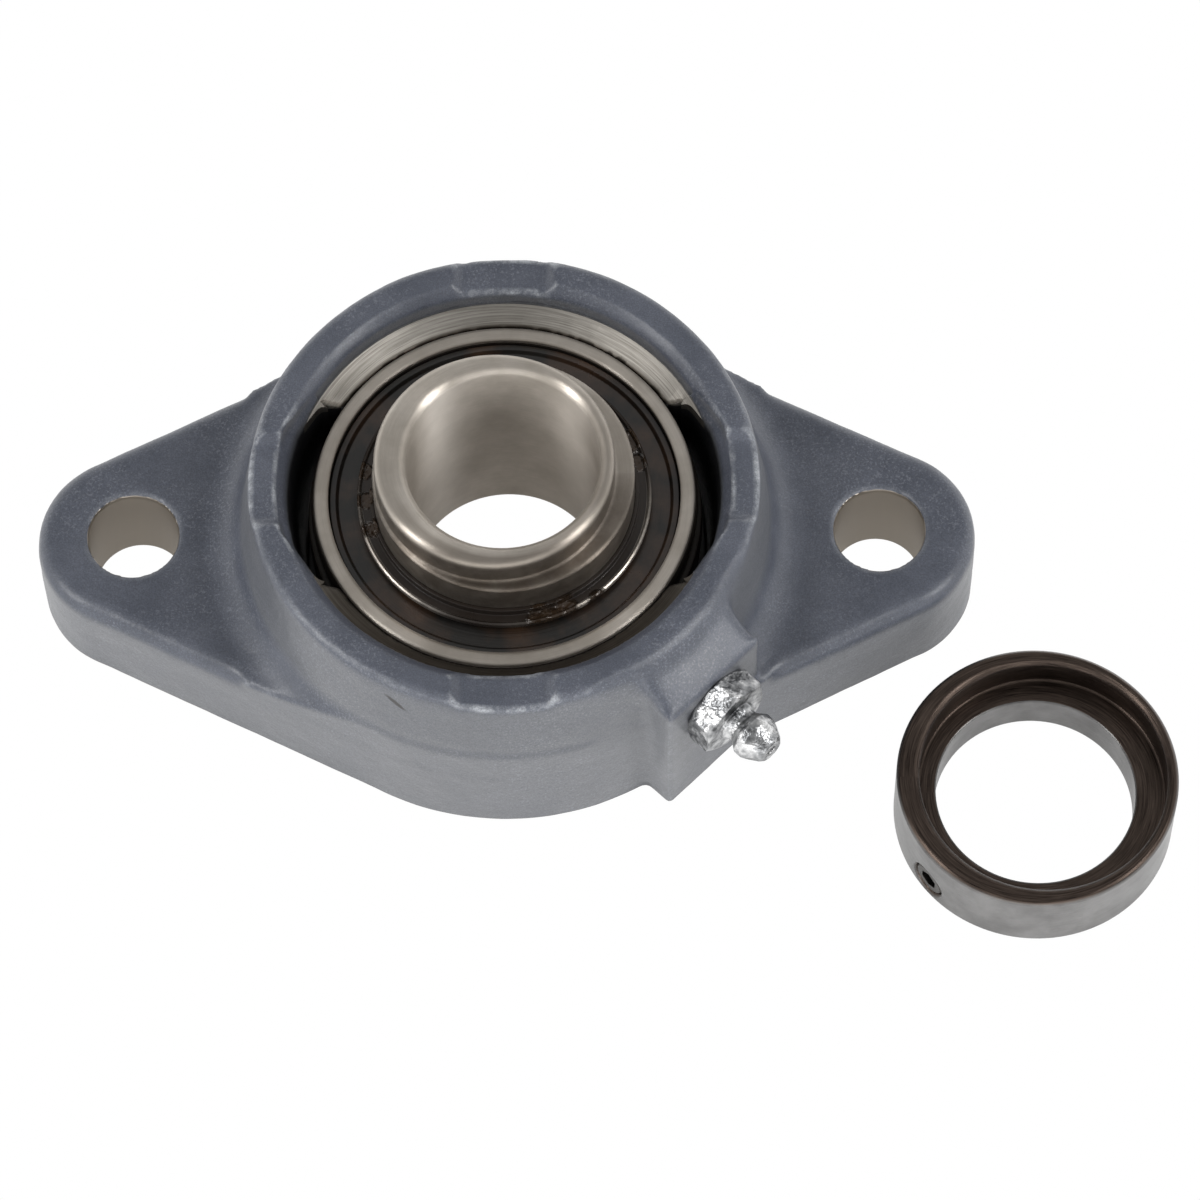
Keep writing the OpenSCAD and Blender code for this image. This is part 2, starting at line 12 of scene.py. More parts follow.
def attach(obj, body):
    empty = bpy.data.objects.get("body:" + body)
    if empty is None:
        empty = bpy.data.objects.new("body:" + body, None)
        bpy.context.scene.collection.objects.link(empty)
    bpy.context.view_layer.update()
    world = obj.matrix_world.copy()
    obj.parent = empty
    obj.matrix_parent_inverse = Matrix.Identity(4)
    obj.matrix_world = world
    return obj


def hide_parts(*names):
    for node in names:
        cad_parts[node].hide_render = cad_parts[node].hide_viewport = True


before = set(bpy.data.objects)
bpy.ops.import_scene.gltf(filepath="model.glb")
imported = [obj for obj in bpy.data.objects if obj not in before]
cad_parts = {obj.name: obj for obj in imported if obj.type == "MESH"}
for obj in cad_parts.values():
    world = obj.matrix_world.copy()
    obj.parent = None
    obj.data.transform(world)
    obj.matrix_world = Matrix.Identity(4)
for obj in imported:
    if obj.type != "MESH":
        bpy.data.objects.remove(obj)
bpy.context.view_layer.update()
MM = 0.001

# Main sizes of the part, in millimetres, as in its source
BOLT_X = 49.5
BOLT_HOLE_R = 6.0
INSERT_Z = 17.8
SEAT_R = 26.05
SEAT_EDGE_Z = 24.9
MACHINED_R = 27.95
MACHINED_Z = 26.5
BACK_BORE_R = 24.6
SHAFT_R = 12.7
SLOT_REACH = 29.8
LUG_ANGLE = math.radians(-45)
LUG_REACH = 38.5
NIPPLE_Z = 18.8
COLLAR = Vector((69.3, -34.8, 0.0))
COLLAR_R = 18.4
COLLAR_BORE_R = 13.1

# Sizes that only the casting needs: what the flange is clipped to, the width that takes in the loading
# slots, and the nipple's hole
FLANGE_X = 62.28
FLANGE_Y = 35.19
SLOT_HALF_WIDTH = 13.4
SHANK_HOLE_R = 3.05
SHANK_HOLE_DEPTH = 7.5

# Centre of the small pit in the housing's front wall
PIT = (-13.9, -30.4, 26.5)

# Casting: size of the remeshed cells, how often its surface is relaxed, and how far each time
VOXEL = 0.487
RELAX_ALL = 2
RELAX_LUG = 36
RELAX_STEP = 0.5
# What the casting is made longer by below its mounting face, before that face is cut
FOOT_SPARE = 2.0
# How far the cast surface wanders, in layers of (width of a lump, its height)
WANDER = ((7.0, 0.07), (2.2, 0.03))
# Vertices this near to the wall of a bolt hole, and below this height, are put on the true circle
SNAP_REACH = 0.4
SNAP_TOP = 13.9
# The slots' end walls, past this radius, lean in towards the axis: not yet at LEAN_TOP, by all of LEAN
# from LEAN_DEPTH under it, and no further down than LEAN_FLOOR
SLOT_WALL_FROM = 27.2
LEAN = 0.9
LEAN_TOP = 29.0
LEAN_DEPTH = 2.6
LEAN_FLOOR = 10.0
# The attribute that the wear and painted highlights on the edges, and the painted shade in the hollows, are
# read from: how often the bend of the surface is evened out, its gain for each millimetre of bend, and its
# value where the surface is flat
BEND_ROUNDS = 2
BEND_GAIN = 8.0
BEND_FLAT = 0.5
# Steps along the curve of the cutter for the seat, and round the cutters
SEAT_STEPS = 40
SEAT_SIDES = 160
SHANK_SIDES = 48
# Edges of the casting that bend by more than this many degrees stay sharp
SHARP_FROM = 35

# How far turned lines drift in their pattern, in metres for each radian round the axis
LINE_DRIFT = 0.0005

# Grease that sticks round the inner ring: centre and reach of each lump, in millimetres
GREASE = (
    (-18.6, 3.6, 1.8), (-18.2, -0.6, 2.0), (-17.4, -5.0, 2.0), (7.9, -17.6, 3.4), (4.9, -18.2, 2.8),
    (12.4, -15.6, 2.2), (16.7, 8.0, 2.6), (17.6, 4.6, 1.8),
)

# Colours of the paint, and of the light and shade painted on it, linear
PAINT_DARK = (0.043, 0.049, 0.066)
PAINT_LIGHT = (0.066, 0.073, 0.094)
PAINT_LIT_WALLS = (0.100, 0.103, 0.109)
SPECK = (0.24, 0.25, 0.28)
WORN_AND_HIGHLIT_EDGE = (0.46, 0.48, 0.50)
HOLLOW_SHADE = (0.030, 0.034, 0.042)
PIT_BLACK = (0.012, 0.010, 0.009)
SLOT_SHADOW_BLACK = (0.004, 0.004, 0.005)

# Colours of iron, steel, rubber and what sticks to them, and of the light and shade painted on them, linear
IRON_DARK = (0.13, 0.12, 0.105)
IRON_LIGHT = (0.28, 0.265, 0.24)
IRON_DARKENED = (0.045, 0.036, 0.028)
IRON_IN_BOLT_HOLES = (0.40, 0.36, 0.31)
RING_DARK = (0.44, 0.40, 0.35)
RING_LIGHT = (0.56, 0.515, 0.46)
RING_LINES = (0.28, 0.25, 0.215)
RING_GREASE_AND_SHADE = (0.022, 0.017, 0.013)
BORE_SHEEN = (0.92, 0.88, 0.83)
NOSE_SHADED = (0.24, 0.21, 0.18)
BROWN_FRONT_SHADE = (0.085, 0.068, 0.055)
BROW_SHADE = (0.17, 0.145, 0.12)
RUBBER_BLACK = (0.005, 0.004, 0.003)
RUBBER_BROWN = (0.040, 0.022, 0.013)
SHEET_BRIGHT = (0.66, 0.60, 0.53)
SHEET_DARK = (0.018, 0.013, 0.010)
GREASE_BROWN = (0.030, 0.018, 0.010)
ZINC_DARK = (0.06, 0.062, 0.065)
ZINC_GREY = (0.28, 0.284, 0.29)
ZINC_BRIGHT = (0.62, 0.62, 0.62)
GROUND_DARK = (0.13, 0.127, 0.125)
GROUND_LIGHT = (0.20, 0.197, 0.194)
OXIDE_DARK = (0.020, 0.015, 0.013)
OXIDE_LIGHT = (0.105, 0.080, 0.066)
SCREW_BLACK = (0.06, 0.055, 0.05)
CAGE_GREY = (0.55, 0.53, 0.50)
BALL_BRIGHT = (0.75, 0.75, 0.76)

# Strength of the studio's light, and grey and glow of the floor
STUDIO_STRENGTH = 1.6
FLOOR_GREY = 0.82
FLOOR_GLOW = 0.35


# Node trees
def put(tree, kind, values=(), **settings):
    """Adds a shader node. Values are given by socket name or in order, and a socket among them is linked."""
    node = tree.nodes.new("ShaderNode" + kind)
    for key, value in settings.items():
        setattr(node, key, value)
    pairs = values.items() if isinstance(values, dict) else enumerate(values)
    for key, value in pairs:
        if isinstance(value, bpy.types.NodeSocket):
            tree.links.new(value, node.inputs[key])
        elif value is not None:
            node.inputs[key].default_value = value
    return node


def math_node(tree, operation, *values, clamp=False):
    return put(tree, "Math", values, operation=operation, use_clamp=clamp).outputs[0]


def ramp(tree, fac, *stops):
    """A colour ramp over fac with stops of (position, grey or colour)."""
    node = put(tree, "ValToRGB", [fac])
    elements = node.color_ramp.elements
    while len(elements) < len(stops):
        elements.new(0.5)
    for element, (at, colour) in zip(elements, stops):
        element.position = at
        element.color = (*colour, 1) if isinstance(colour, tuple) else (colour, colour, colour, 1)
    return node.outputs[0]


def noise(tree, vector, scale, detail, rough):
    values = {"Vector": vector, "Scale": scale, "Detail": detail, "Roughness": rough}
    return put(tree, "TexNoise", values).outputs["Fac"]


def blend(tree, fac, a, b, mode="MIX"):
    """Mixes two colours. The Mix node takes them on inputs 6 and 7 and gives the result on output 2."""
    node = put(tree, "Mix", data_type="RGBA", blend_type=mode)
    for key, value in ((0, fac), (6, a), (7, b)):
        if isinstance(value, bpy.types.NodeSocket):
            tree.links.new(value, node.inputs[key])
        else:
            node.inputs[key].default_value = value if key == 0 else (*value, 1)
    return node.outputs[2]


def bump(tree, height, strength, distance, normal=None):
    values = {"Strength": strength, "Distance": distance * MM, "Height": height, "Normal": normal}
    return put(tree, "Bump", values).outputs[0]


def rounded(tree, size):
    """Normals that round sharp edges off by size millimetres."""
    return put(tree, "Bevel", {"Radius": size * MM}, samples=6).outputs[0]


class Finish:
    """A material with its tree, its object coordinates and the ways of reading them that finishes share."""

    def __init__(self, name, centre=(0, 0)):
        self.material = bpy.data.materials.new(name)
        self.material.use_nodes = True
        self.tree = self.material.node_tree
        self.tree.nodes.clear()
        self.output = put(self.tree, "OutputMaterial")
        self.place = put(self.tree, "TexCoord").outputs["Object"]
        x, y, self.z = put(self.tree, "SeparateXYZ", [self.place]).outputs
        self.x = math_node(self.tree, "SUBTRACT", x, centre[0] * MM)
        self.y = math_node(self.tree, "SUBTRACT", y, centre[1] * MM)
        self.radius = self.length(self.x, self.y)

    def length(self, a, b):
        squares = [math_node(self.tree, "MULTIPLY", v, v) for v in (a, b)]
        return math_node(self.tree, "SQRT", math_node(self.tree, "ADD", *squares))

    def between(self, value, low, high, soft=0.05):
        """1 where low < value < high, in millimetres, with soft edges."""
        edges = []
        for limit, sign in ((low, 1), (high, -1)):
            if limit is not None:
                rise = math_node(self.tree, "SUBTRACT", value, limit * MM)
                edges.append(math_node(self.tree, "MULTIPLY_ADD", rise, sign / (soft * MM), 0.5, clamp=True))
        return edges[0] if len(edges) == 1 else math_node(self.tree, "MULTIPLY", *edges)

    def towards(self, degrees, power):
        """1 on the side that faces the given direction, falling off by a power of the cosine."""
        a = math.radians(degrees)
        along = math_node(self.tree, "MULTIPLY", self.x, math.cos(a))
        along = math_node(self.tree, "MULTIPLY_ADD", self.y, math.sin(a), along)
        cosine = math_node(self.tree, "DIVIDE", along, self.radius, clamp=True)
        return math_node(self.tree, "POWER", cosine, power)

    def grease(self):
        """1 on the lumps of grease, with ragged edges."""
        reach = None
        for x, y, size in GREASE:
            dx = math_node(self.tree, "SUBTRACT", self.x, x * MM)
            dy = math_node(self.tree, "SUBTRACT", self.y, y * MM)
            away = self.length(dx, dy)
            near = math_node(self.tree, "MULTIPLY_ADD", away, -1 / (size * MM), 1.0, clamp=True)
            reach = near if reach is None else math_node(self.tree, "MAXIMUM", reach, near)
        ragged = noise(self.tree, self.place, 380, 3.0, 0.6)
        return ramp(self.tree, math_node(self.tree, "MULTIPLY", reach, ragged), (0.12, 0.0), (0.24, 1.0))

    def turned_lines(self, per_mm):
        """Fine lines that run round the axis, as turning and grinding leave them."""
        angle = math_node(self.tree, "ARCTAN2", self.y, self.x)
        around = math_node(self.tree, "MULTIPLY", angle, LINE_DRIFT)
        place = put(self.tree, "CombineXYZ", [self.radius, self.z, around]).outputs[0]
        return noise(self.tree, place, per_mm / MM, 4.0, 0.7)

    def shader(self, values):
        return put(self.tree, "BsdfPrincipled", values).outputs[0]

    def done(self, shader):
        self.tree.links.new(shader, self.output.inputs[0])
        return self.material


# Finish of the casting
def paint_colour(f):
    """Blue-grey paint, with lighter, greyer walls as painted light, light specks, worn edges that also carry
    painted highlights, painted shade in the hollows, and the pit.
    """
    t = f.tree
    patches = noise(t, f.place, 110, 4.0, 0.6)
    colour = ramp(t, patches, (0.35, PAINT_DARK), (0.68, PAINT_LIGHT))
    # Painted light: the walls get a lighter, greyer paint than the tops, by the slope of the surface
    normal = put(t, "NewGeometry").outputs["Normal"]
    wall = ramp(t, put(t, "SeparateXYZ", [normal]).outputs[2], (0.12, 0.75), (0.48, 0.0))
    colour = blend(t, wall, colour, PAINT_LIT_WALLS)
    specks = ramp(t, noise(t, f.place, 3000, 2.0, 0.6), (0.52, 0.0), (0.68, 1.0))
    strewn = ramp(t, noise(t, f.place, 70, 3.0, 0.6), (0.42, 0.05), (0.62, 0.28))
    colour = blend(t, math_node(t, "MULTIPLY", specks, strewn), colour, SPECK)
    edge = put(t, "Attribute", attribute_name="bend").outputs["Fac"]
    # Worn edges, lighter where the paint is rubbed off, and partly painted highlights along the edges
    worn_and_highlit = ramp(t, edge, (0.68, 0.0), (0.90, 1.0))
    high = math_node(t, "MULTIPLY_ADD", f.between(f.z, 27.0, None, soft=1.0), 0.75, 0.25)
    broken = ramp(t, noise(t, f.place, 380, 5.0, 0.75), (0.42, 0.08), (0.62, 0.55))
    broken = math_node(t, "MULTIPLY", broken, high)
    colour = blend(t, math_node(t, "MULTIPLY", worn_and_highlit, broken), colour, WORN_AND_HIGHLIT_EDGE)
    # Painted shade: the hollows are darkened where shade falls in them
    hollow_shade = ramp(t, edge, (0.12, 0.6), (0.40, 0.0))
    colour = blend(t, hollow_shade, colour, HOLLOW_SHADE)
    grain = ramp(t, noise(t, f.place, 5200, 2.0, 0.6), (0.34, 0.78), (0.66, 1.22))
    colour = blend(t, 1.0, colour, grain, "MULTIPLY")
    return blend(t, pit(f), colour, PIT_BLACK), patches


def pit(f):
    """1 on the small dark pit in the front wall, a short slanting scratch."""
    t = f.tree
    x, y, z = PIT
    along = math_node(t, "SUBTRACT", f.x, x * MM)
    down = math_node(t, "MULTIPLY_ADD", along, 0.7, math_node(t, "SUBTRACT", f.z, z * MM))
    front = f.between(f.y, y - 3.0, y + 3.0)
    spot = f.between(f.length(math_node(t, "MULTIPLY", along, 0.35), down), None, 0.42, soft=0.25)
    return math_node(t, "MULTIPLY", front, spot)


def slot_shadow(f):
    """1 deep inside the loading slots, where the paint is made black: painted shadow, with grease."""
    t = f.tree
    deep = f.between(f.z, None, 26.4, soft=2.4)
    across = f.between(math_node(t, "ABSOLUTE", f.y), None, SLOT_HALF_WIDTH)
    inside = math_node(t, "MULTIPLY", f.between(f.radius, 20, SLOT_REACH + 0.1), across)
    return math_node(t, "MULTIPLY", deep, inside)


def bare_metal(f):
    """1 on the seat, the chamfer above it, the bore under it, the bolt holes and the mounting face."""
    t = f.tree
    up = math_node(t, "SUBTRACT", f.z, INSERT_Z * MM)
    seat = f.between(f.length(f.radius, up), SEAT_R - 0.2, SEAT_R + 0.12)
    chamfer = math_node(t, "MULTIPLY", f.between(f.z, SEAT_EDGE_Z - 0.2, MACHINED_Z + 0.05),
                        f.between(f.radius, None, MACHINED_R + 0.12))
    bore = math_node(t, "MULTIPLY", f.between(f.radius, None, BACK_BORE_R + 0.1), f.between(f.z, None, 9.5))
    side = math_node(t, "SUBTRACT", math_node(t, "ABSOLUTE", f.x), BOLT_X * MM)
    hole = f.between(f.length(side, f.y), None, BOLT_HOLE_R + 0.12)
    bare = math_node(t, "MAXIMUM", seat, chamfer)
    for mask in (bore, hole, f.between(f.z, None, 0.05)):
        bare = math_node(t, "MAXIMUM", bare, mask)
    return bare


def cast_paint():
    """Paint on the casting, and bare iron where it was machined: darker on its front side as painted shade,
    and dark low in the seat, but clean in the bolt holes.
    """
    f = Finish("cast_paint")
    t = f.tree
    colour, patches = paint_colour(f)
    # Painted shadow, with grease: the paint is made black deep in the loading slots
    colour = blend(t, slot_shadow(f), colour, SLOT_SHADOW_BLACK)
    normal = bump(t, noise(t, f.place, 240, 3.0, 0.55), 0.5, 0.35)
    normal = bump(t, noise(t, f.place, 1700, 3.0, 0.65), 0.6, 0.08, normal)
    rough = ramp(t, patches, (0.3, 0.36), (0.7, 0.50))
    paint = f.shader({"Base Color": colour, "Roughness": rough, "Normal": normal, "IOR": 1.5,
                      "Coat Weight": 0.2, "Coat Roughness": 0.25})
    lines = f.turned_lines(5.0)
    metal = ramp(t, lines, (0.32, IRON_DARK), (0.62, IRON_LIGHT))
    # Painted shade: the bare iron is darker on its front side; it is dark too below radius 25.5 in the seat
    darkened = math_node(t, "MULTIPLY", f.towards(-78, 0.6), 0.72)
    darkened = math_node(t, "MAXIMUM", darkened, f.between(f.radius, None, 25.5, soft=0.5))
    metal = blend(t, darkened, metal, IRON_DARKENED)
    apart = f.between(math_node(t, "ABSOLUTE", f.x), 40, None)
    metal = blend(t, apart, metal, IRON_IN_BOLT_HOLES)
    steel = f.shader({"Base Color": metal, "Metallic": 1.0, "Roughness": 0.45,
                      "Normal": bump(t, lines, 0.3, 0.03)})
    return f.done(put(t, "MixShader", [bare_metal(f), paint, steel]).outputs[0])


# Finishes of the insert
def ring_steel(name, dark_side, nose=False):
    """Ground steel of a bearing ring, warm grey. It is dark on lumps of grease and where dark_side gives: a
    film of grease on the inner ring, painted shadow on the outer ring.
    """
    f = Finish(name)
    t = f.tree
    stain = noise(t, f.place, 160, 4.0, 0.6)
    colour = ramp(t, stain, (0.35, RING_DARK), (0.65, RING_LIGHT))
    lines = f.turned_lines(7.0)
    colour = blend(t, ramp(t, lines, (0.35, 0.25), (0.6, 0.0)), colour, RING_LINES)
    inside = 0.0
    if nose:
        inside = f.between(f.radius, None, SHAFT_R + 0.1)
        colour = nose_stain(f, colour, inside)
    lumps = math_node(t, "MULTIPLY", f.grease(), f.between(f.z, None, 27.5, soft=1.0))
    # Grease darkens the steel, and on the outer ring so does the painted shadow in the slots
    grease_and_shade = math_node(t, "MAXIMUM", dark_side(f), lumps)
    colour = blend(t, grease_and_shade, colour, RING_GREASE_AND_SHADE)
    metallic = math_node(t, "MULTIPLY_ADD", grease_and_shade, -0.7, 1.0)
    rough = math_node(t, "MULTIPLY_ADD", inside, 0.2, ramp(t, lines, (0.3, 0.32), (0.7, 0.40)))
    tangent = put(t, "Tangent", direction_type="RADIAL", axis="Z").outputs[0]
    normal = bump(t, lines, 0.10, 0.02, rounded(t, 0.8))
    return f.done(f.shader({"Base Color": colour, "Metallic": metallic, "Roughness": rough, "Normal": normal,
                            "Anisotropic": 0.8, "Anisotropic Rotation": 0.25, "Tangent": tangent}))


def nose_stain(f, colour, inside):
    """Adds a painted sheen in the bore, painted shade on the right side and the front, brown like a film on
    the front of the cam and shoulder.
    """
    t = f.tree
    # Painted sheen: two soft streaks of light in the bore
    sheen = math_node(t, "MAXIMUM", f.towards(133, 22), math_node(t, "MULTIPLY", f.towards(39, 22), 0.6))
    sheen = math_node(t, "MULTIPLY", sheen, math_node(t, "MULTIPLY", inside, 0.34))
    colour = blend(t, sheen, colour, BORE_SHEEN)
    colour = blend(t, math_node(t, "MULTIPLY", f.towards(-15, 1.5), 0.55), colour, NOSE_SHADED)
    film = noise(t, f.place, 300, 4.0, 0.65)
    # Painted shade on the front of the cam and shoulder, brown like a film of grease
    front = math_node(t, "MULTIPLY", f.towards(-90, 0.45), f.between(f.z, None, 34.3, soft=1.2))
    front = math_node(t, "MULTIPLY", front, f.between(f.radius, SHAFT_R + 0.9, None, soft=0.3))
    front = math_node(t, "MULTIPLY", front, ramp(t, film, (0.36, 0.6), (0.6, 1.0)))
    colour = blend(t, front, colour, BROWN_FRONT_SHADE)
    # Painted shade on the front of the nose and its rounded edge
    brow_shade = math_node(t, "MULTIPLY", f.towards(-90, 0.8), f.between(f.radius, 14.3, None, soft=0.6))
    return blend(t, math_node(t, "MULTIPLY", brow_shade, 0.62), colour, BROW_SHADE)


def outer_ring_slot_shade(f):
    """1 on the spherical outside, which shows through the loading slots and is made dark there: painted
    shadow, with grease.
    """
    edge = 24.75
    return f.between(f.z, 2 * INSERT_Z - edge, edge, soft=0.2)


def inner_ring_dark(f):
    """Brown film on the land just above the flinger, and none in the bore."""
    t = f.tree
    film = noise(t, f.place, 300, 4.0, 0.65)
    low = math_node(t, "MULTIPLY", f.between(f.z, None, 26.6, soft=2.5), f.between(f.radius, 15.0, None))
    return math_node(t, "MULTIPLY", low, ramp(t, film, (0.38, 0.35), (0.62, 0.95)))


def oily_rubber():
    """Black seal rubber with a film of brown grease."""
    f = Finish("seal_rubber_oily")
    t = f.tree
    film = noise(t, f.place, 130, 4.0, 0.6)
    colour = ramp(t, film, (0.42, RUBBER_BLACK), (0.70, RUBBER_BROWN))
    lines = f.turned_lines(1.6)
    normal = bump(t, lines, 0.5, 0.08, rounded(t, 0.2))
    rough = ramp(t, film, (0.35, 0.45), (0.65, 0.26))
    return f.done(f.shader({"Base Color": colour, "Roughness": rough, "Normal": normal, "Coat Weight": 0.2,
                            "Coat Roughness": 0.25}))


def stained_sheet():
    """Sheet steel of the flingers: dark, with lumps of grease, but bright metal in two arcs near the rim,
    which are painted highlights.
    """
    f = Finish("sheet_steel_stained")
    t = f.tree
    grime = noise(t, f.place, 220, 5.0, 0.65)
    inner = f.between(f.radius, None, 18.75, soft=0.3)
    # Painted highlights: two arcs on the front of the rim are left bright metal, and the rest is dark
    highlight_arcs = math_node(t, "MAXIMUM", f.towards(-38, 8), f.towards(-148, 14))
    highlight_arcs = math_node(t, "MULTIPLY", highlight_arcs, ramp(t, grime, (0.35, 0.2), (0.6, 1.0)))
    off_highlights = math_node(t, "SUBTRACT", 1.0, highlight_arcs)
    grease = f.grease()
    dark = math_node(t, "MAXIMUM", math_node(t, "MAXIMUM", inner, off_highlights), grease)
    colour = blend(t, dark, SHEET_BRIGHT, SHEET_DARK)
    rough = ramp(t, grime, (0.35, 0.24), (0.7, 0.42))
    metallic = math_node(t, "MULTIPLY_ADD", dark, -0.8, 1.0)
    colour = blend(t, grease, colour, GREASE_BROWN)
    rough = math_node(t, "MULTIPLY_ADD", grease, -0.12, rough)
    lumps = math_node(t, "MULTIPLY", grease, noise(t, f.place, 650, 2.0, 0.5))
    normal = bump(t, lumps, 0.8, 0.9, rounded(t, 0.2))
    return f.done(f.shader({"Base Color": colour, "Metallic": metallic, "Roughness": rough,
                            "Normal": normal}))


# Finishes of the small parts
def bright_steel(name, colour, roughness, edge=0.0):
    """Smooth steel of one colour, with its edges rounded off by edge millimetres."""
    f = Finish(name)
    values = {"Base Color": (*colour, 1), "Metallic": 1.0, "Roughness": roughness}
    if edge:
        values["Normal"] = rounded(f.tree, edge)
    return f.done(f.shader(values))


def zinc():
    """Bright, uneven zinc plating of the nipple."""
    f = Finish("zinc_bright")
    t = f.tree
    lumps = noise(t, f.place, 420, 3.0, 0.6)
    colour = ramp(t, lumps, (0.34, ZINC_DARK), (0.5, ZINC_GREY), (0.64, ZINC_BRIGHT))
    normal = bump(t, lumps, 1.0, 0.6, rounded(t, 0.4))
    return f.done(f.shader({"Base Color": colour, "Metallic": 1.0, "Roughness": 0.32, "Normal": normal}))


def collar_steel():
    """Ground outside and bore, black oxide on the rim and in the recess."""
    f = Finish("collar_steel_ground", (COLLAR.x, COLLAR.y))
    t = f.tree
    lines = f.turned_lines(5.0)
    stain = noise(t, f.place, 200, 4.0, 0.6)
    outside = f.between(f.radius, COLLAR_R - 0.15, None, soft=0.3)
    bore = f.between(f.radius, None, COLLAR_BORE_R + 0.15, soft=0.1)
    bright = math_node(t, "MAXIMUM", outside, bore)
    ground = ramp(t, stain, (0.35, GROUND_DARK), (0.65, GROUND_LIGHT))
    oxide = ramp(t, lines, (0.32, OXIDE_DARK), (0.66, OXIDE_LIGHT))
    colour = blend(t, bright, oxide, ground)
    normal = bump(t, lines, 0.2, 0.03, rounded(t, 0.6))
    rough = ramp(t, lines, (0.3, 0.26), (0.7, 0.38))
    return f.done(f.shader({"Base Color": colour, "Metallic": 1.0, "Roughness": rough, "Normal": normal}))


# Meshes
def linked(name, bm):
    """Makes an object of a bmesh and links it to the scene."""
    mesh = bpy.data.meshes.new(name)
    bm.to_mesh(mesh)
    bm.free()
    thing = bpy.data.objects.new(name, mesh)
    bpy.context.scene.collection.objects.link(thing)
    return thing


def revolve(name, section, steps):
    """Turns a closed section of (radius, height) points about the vertical axis, in millimetres."""
    bm = bmesh.new()
    verts = [bm.verts.new((r * MM, 0, z * MM)) for r, z in section]
    edges = [bm.edges.new((a, b)) for a, b in zip(verts, verts[1:] + verts[:1])]
    bmesh.ops.spin(bm, geom=verts + edges, cent=(0, 0, 0), axis=(0, 0, 1), angle=math.tau, steps=steps,
                   use_merge=True, use_duplicate=False)
    bmesh.ops.remove_doubles(bm, verts=bm.verts, dist=1e-7)
    bmesh.ops.recalc_face_normals(bm, faces=bm.faces)
    return linked(name, bm)


def apply_modifiers(thing):
    """Bakes the modifiers of an object that this script made into its mesh."""
    graph = bpy.context.evaluated_depsgraph_get()
    mesh = bpy.data.meshes.new_from_object(thing.evaluated_get(graph))
    thing.modifiers.clear()
    thing.data = mesh


def smoothstep(value, low, high):
    t = np.clip((value - low) / (high - low), 0, 1)
    return t * t * (3 - 2 * t)


def read_rows(mesh, what):
    """One row for each vertex of a mesh: its place in metres for "co", or its normal for "normal"."""
    values = np.empty(len(mesh.vertices) * 3)
    mesh.vertices.foreach_get(what, values)
    return values.reshape(-1, 3)


def move_vertices(mesh, co):
    mesh.vertices.foreach_set("co", co.reshape(-1))
    mesh.update()


def neighbour_mean(mesh):
    """A function that takes one row for each vertex, and gives the mean of the rows of its neighbours."""
    count = len(mesh.vertices)
    pairs = np.empty(len(mesh.edges) * 2, dtype=np.int64)
    mesh.edges.foreach_get("vertices", pairs)
    a, b = pairs.reshape(-1, 2).T
    degree = np.bincount(np.concatenate([a, b]), minlength=count)

    def mean(rows):
        columns = [np.bincount(a, column[b], count) + np.bincount(b, column[a], count) for column in rows.T]
        return np.stack(columns, 1) / degree[:, None]

    return mean


# The casting
def relax(mesh, rounds, weight_of):
    """Moves every vertex towards its neighbours' mean, by its own weight, as many times as asked."""
    mean = neighbour_mean(mesh)
    co = read_rows(mesh, "co") / MM
    weight = RELAX_STEP * weight_of(co)[:, None]
    for _ in range(rounds):
        co = co + weight * (mean(co) - co)
    move_vertices(mesh, co * MM)


def everywhere(co):
    return np.ones(len(co))


def lug_weight(co):
    """1 where the lug runs into the boss, the flange and its own top, 0 on its flat face and elsewhere."""
    out = co[:, 0] * math.cos(LUG_ANGLE) + co[:, 1] * math.sin(LUG_ANGLE)
    across = -co[:, 0] * math.sin(LUG_ANGLE) + co[:, 1] * math.cos(LUG_ANGLE)
    past_boss = smoothstep(out, 29.5, 31.5)
    behind_face = 1 - smoothstep(out, LUG_REACH - 1.2, LUG_REACH - 0.5)
    within_sides = 1 - smoothstep(np.abs(across), 13.0, 16.0)
    above_foot = smoothstep(co[:, 2], 0.8, 3.0)
    return past_boss * behind_face * within_sides * above_foot


def roughen(mesh):
    """Lets the cast surface wander by a few hundredths of a millimetre."""
    co = read_rows(mesh, "co")
    height = 0
    for width, tall in WANDER:
        height = height + tall * np.array([lump_height(place) for place in co / (width * MM)])
    move_vertices(mesh, co + (height * MM)[:, None] * read_rows(mesh, "normal"))


def round_bolt_holes(co):
    """Puts the vertices of the bolt holes' walls on their true circles."""
    for side in (-1, 1):
        centre = (side * BOLT_X, 0)
        offset = co[:, :2] - centre
        away = np.hypot(*offset.T)
        wall = (np.abs(away - BOLT_HOLE_R) < SNAP_REACH) & (co[:, 2] < SNAP_TOP)
        co[wall, :2] = centre + offset[wall] * (BOLT_HOLE_R / away[wall])[:, None]


def lean_slot_walls(co):
    """Leans the end walls of the loading slots in towards the axis, less so near their top."""
    radius = np.hypot(co[:, 0], co[:, 1])
    end = (np.abs(co[:, 1]) < SLOT_HALF_WIDTH) & (radius > SLOT_WALL_FROM) & (radius < SLOT_REACH + 0.3)
    deep = smoothstep(LEAN_TOP - co[:, 2], 0, LEAN_DEPTH)
    lean = LEAN * deep * end * (co[:, 2] > LEAN_FLOOR)
    co[:, :2] *= (1 - lean / np.maximum(radius, 1))[:, None]


def true_up(mesh):
    """Makes the bolt holes round, leans the slots' end walls, and keeps the flange to its true reach."""
    co = read_rows(mesh, "co") / MM
    round_bolt_holes(co)
    lean_slot_walls(co)
    co[:, 0] = np.clip(co[:, 0], -FLANGE_X, FLANGE_X)
    co[:, 1] = np.clip(co[:, 1], None, FLANGE_Y)
    move_vertices(mesh, co * MM)


